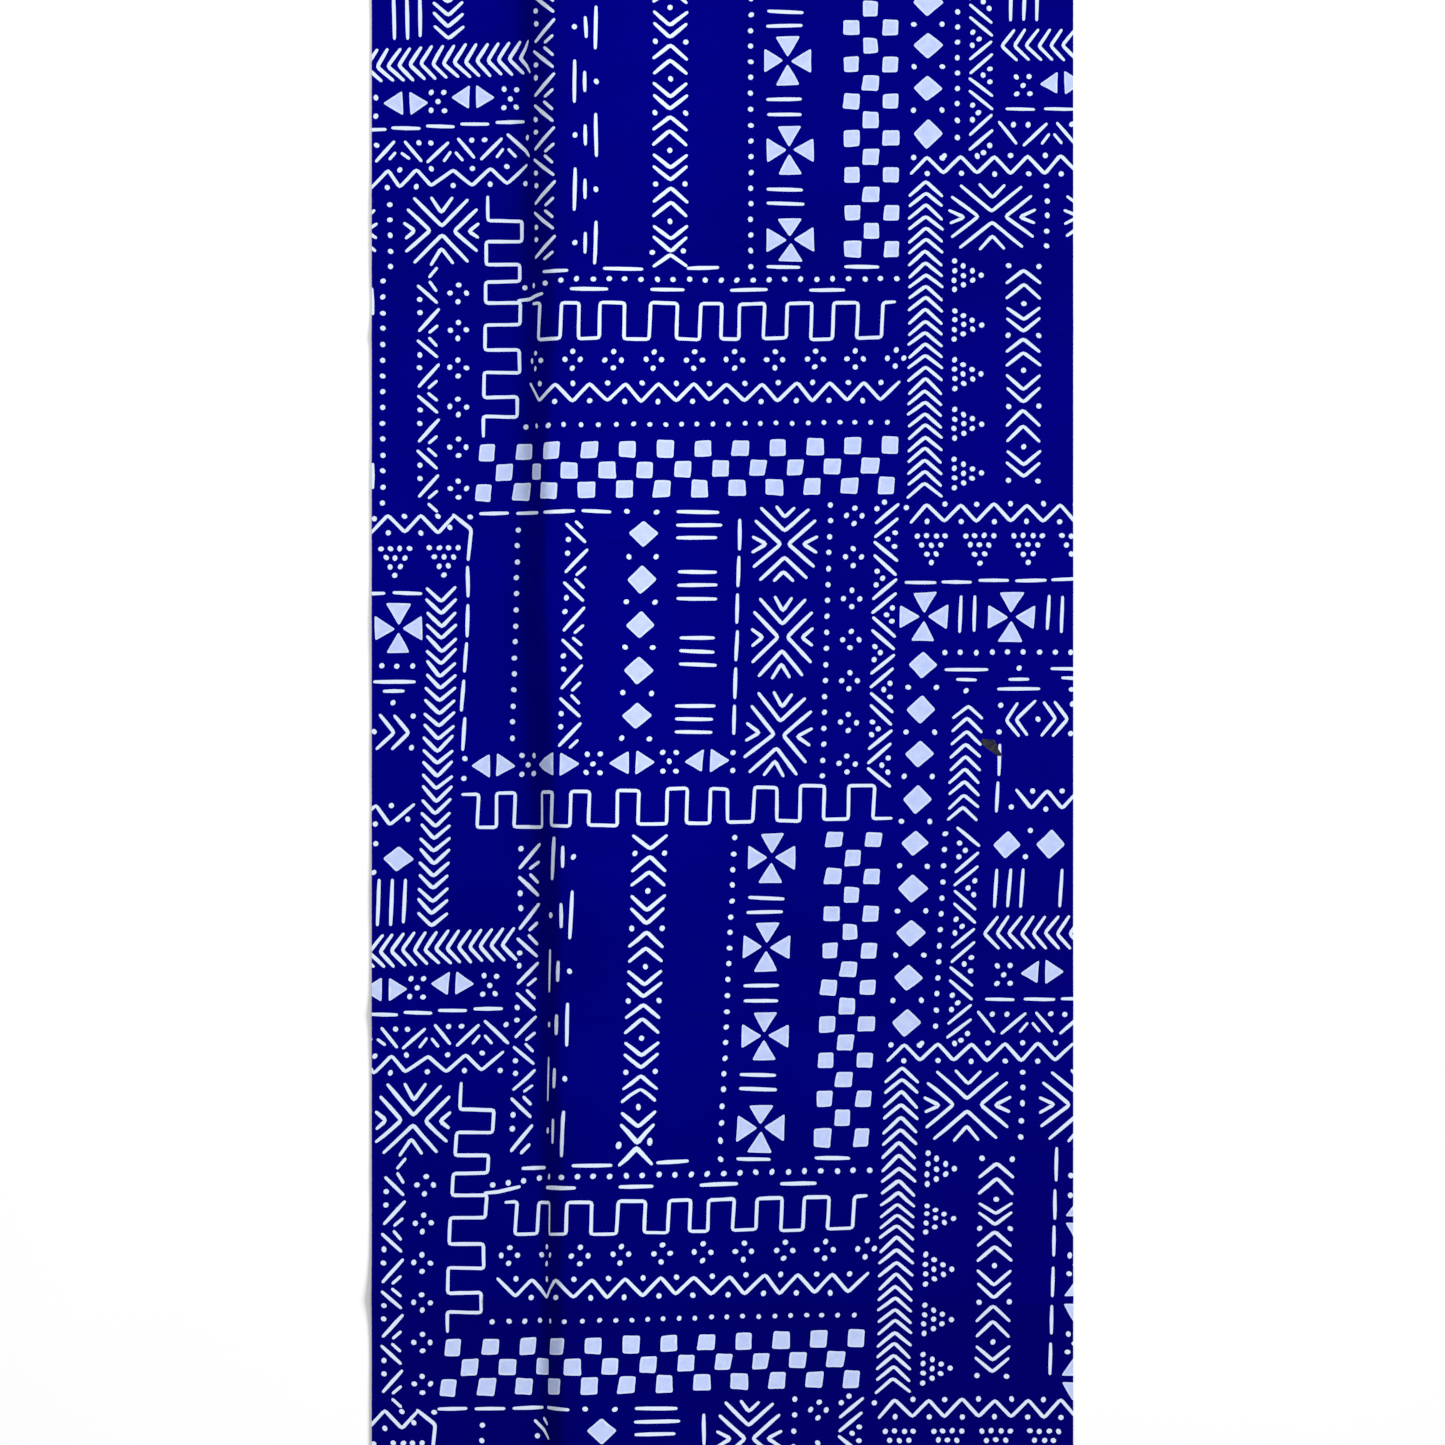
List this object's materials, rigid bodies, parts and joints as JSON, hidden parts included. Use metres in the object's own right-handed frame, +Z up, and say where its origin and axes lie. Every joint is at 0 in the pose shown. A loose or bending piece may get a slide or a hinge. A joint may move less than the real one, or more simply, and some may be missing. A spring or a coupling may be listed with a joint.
{
  "type": "length of wax print fabric",
  "caption": "Cut length of printed cotton cloth lying flat, with one long soft fold and shallow creases, for sewing, draping or display.",
  "frame": {"origin": "on the surface it lies on, under the middle of the sheet's outline", "axes": "+Y along the length to the end at the top of the picture, +X to the picture's right, +Z up from the surface through the printed face"},
  "size_m": [0.478, 1, 0.0122],
  "materials": {
    "printed_cotton": "plain-woven cotton dyed deep ultramarine, printed with bluish-white geometric marks in strokes, dots, checks and diamonds"
  },
  "bodies": {
    "root": {"cloth": "printed_cotton"}
  },
  "joints": []
}
